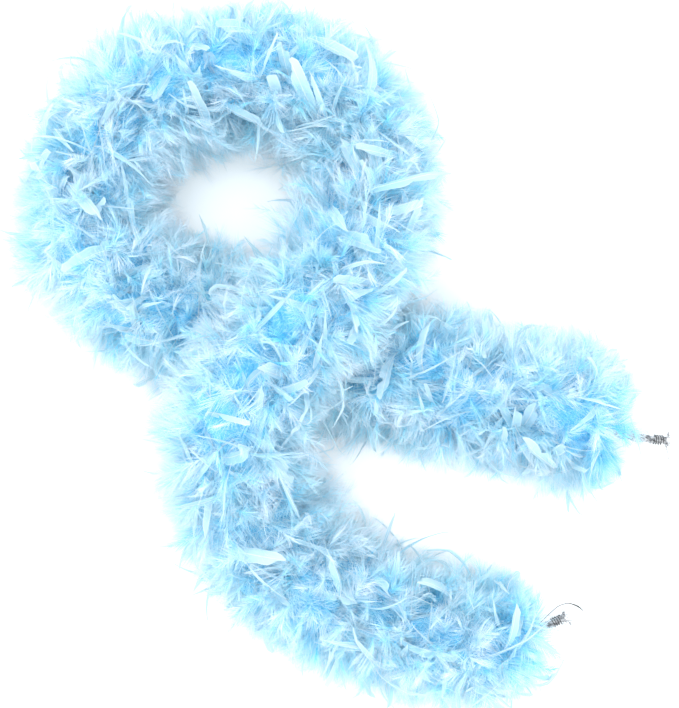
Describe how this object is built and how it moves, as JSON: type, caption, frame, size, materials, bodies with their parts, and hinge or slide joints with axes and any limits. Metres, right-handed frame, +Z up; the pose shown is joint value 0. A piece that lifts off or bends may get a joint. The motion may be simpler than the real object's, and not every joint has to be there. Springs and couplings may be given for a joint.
{
  "type": "feather boa",
  "caption": "Long flexible feather boa lying in an open loop with its two tails crossed, bare twisted cord showing at both tips.",
  "frame": {"origin": "on the floor at the middle of the neck loop's opening", "axes": "+Z up from the floor the boa lies on, +X towards the tail tips' side, -Y towards the lower tail"},
  "size_m": [0.6639, 0.7159, 0.1738],
  "materials": {
    "feather": "matte pale sky blue feather vanes",
    "down": "soft sky blue down",
    "cord": "matte off-white twisted cord",
    "thread": "matte blue-grey thread",
    "whipping": "matte dark thread"
  },
  "bodies": {
    "length_01": {"core_cord_01": "cord", "binding_thread_01": "thread", "down_01": "down", "feathers_01": "feather", "end_whipping_right": "whipping"},
    "length_02": {"core_cord_02": "cord", "binding_thread_02": "thread", "down_02": "down", "feathers_02": "feather"},
    "length_03": {"core_cord_03": "cord", "binding_thread_03": "thread", "down_03": "down", "feathers_03": "feather"},
    "length_04": {"core_cord_04": "cord", "binding_thread_04": "thread", "down_04": "down", "feathers_04": "feather"},
    "length_05": {"core_cord_05": "cord", "binding_thread_05": "thread", "down_05": "down", "feathers_05": "feather"},
    "length_06": {"core_cord_06": "cord", "binding_thread_06": "thread", "down_06": "down", "feathers_06": "feather"},
    "length_07": {"core_cord_07": "cord", "binding_thread_07": "thread", "down_07": "down", "feathers_07": "feather"},
    "length_08": {"core_cord_08": "cord", "binding_thread_08": "thread", "down_08": "down", "feathers_08": "feather"},
    "length_09": {"core_cord_09": "cord", "binding_thread_09": "thread", "down_09": "down", "feathers_09": "feather"},
    "length_10": {"core_cord_10": "cord", "binding_thread_10": "thread", "down_10": "down", "feathers_10": "feather"},
    "length_11": {"core_cord_11": "cord", "binding_thread_11": "thread", "down_11": "down", "feathers_11": "feather"},
    "length_12": {"core_cord_12": "cord", "binding_thread_12": "thread", "down_12": "down", "feathers_12": "feather"},
    "length_13": {"core_cord_13": "cord", "binding_thread_13": "thread", "down_13": "down", "feathers_13": "feather", "end_whipping_lower": "whipping"}
  },
  "joints": [
    {"name": "lift_01_02", "type": "hinge", "parent": "length_02", "child": "length_01", "pos_m": [0.27453, -0.2002, 0.02943], "axis": [-0.2383, -0.9712, 0], "range_deg": [0, 60], "deforming": ["feathers_01"]},
    {"name": "swing_02_03", "type": "hinge", "parent": "length_03", "child": "length_02", "pos_m": [0.1399, -0.16796, 0.02889], "axis": [0, 0, 1], "range_deg": [-28, 50], "deforming": ["feathers_02"]},
    {"name": "swing_03_04", "type": "hinge", "parent": "length_04", "child": "length_03", "pos_m": [0.00644, -0.13115, 0.02902], "axis": [0, 0, 1], "range_deg": [-18, 15], "deforming": ["feathers_03"]},
    {"name": "swing_04_05", "type": "hinge", "parent": "length_05", "child": "length_04", "pos_m": [-0.11826, -0.07411, 0.029], "axis": [0, 0, -1], "range_deg": [-5, 13], "deforming": ["feathers_04"]},
    {"name": "swing_05_06", "type": "hinge", "parent": "length_06", "child": "length_05", "pos_m": [-0.14013, 0.05402, 0.02902], "axis": [0, 0, 1], "range_deg": [-10, 4], "deforming": ["feathers_05"]},
    {"name": "swing_06_07", "type": "hinge", "parent": "length_07", "child": "length_06", "pos_m": [-0.0286, 0.12536, 0.02898], "axis": [0, 0, 1], "range_deg": [-12, 7], "deforming": ["feathers_06"]},
    {"name": "swing_07_08", "type": "hinge", "parent": "length_07", "child": "length_08", "pos_m": [0.1023, 0.09606, 0.02811], "axis": [0, 0, -1], "range_deg": [-12, 12], "deforming": ["feathers_08", "feathers_07"]},
    {"name": "lift_08_09", "type": "hinge", "parent": "length_08", "child": "length_09", "pos_m": [0.13187, -0.02722, 0.0528], "axis": [-0.9475, 0.3198, 0], "range_deg": [0, 35], "deforming": ["feathers_09"]},
    {"name": "swing_09_10", "type": "hinge", "parent": "length_09", "child": "length_10", "pos_m": [0.05912, -0.13373, 0.09907], "axis": [0, 0, -1], "range_deg": [-15, 15], "deforming": ["feathers_10"]},
    {"name": "lift_10_11", "type": "hinge", "parent": "length_10", "child": "length_11", "pos_m": [0.00034, -0.2485, 0.06343], "axis": [-0.9982, 0.0596, 0], "range_deg": [0, 45], "deforming": ["feathers_11"]},
    {"name": "swing_11_12", "type": "hinge", "parent": "length_11", "child": "length_12", "pos_m": [0.04712, -0.36827, 0.02881], "axis": [0, 0, 1], "range_deg": [-55, 28], "deforming": ["feathers_12"]},
    {"name": "lift_12_13", "type": "hinge", "parent": "length_12", "child": "length_13", "pos_m": [0.16966, -0.42965, 0.02925], "axis": [-0.259, -0.9659, 0], "range_deg": [0, 60], "deforming": ["feathers_13"]}
  ]
}
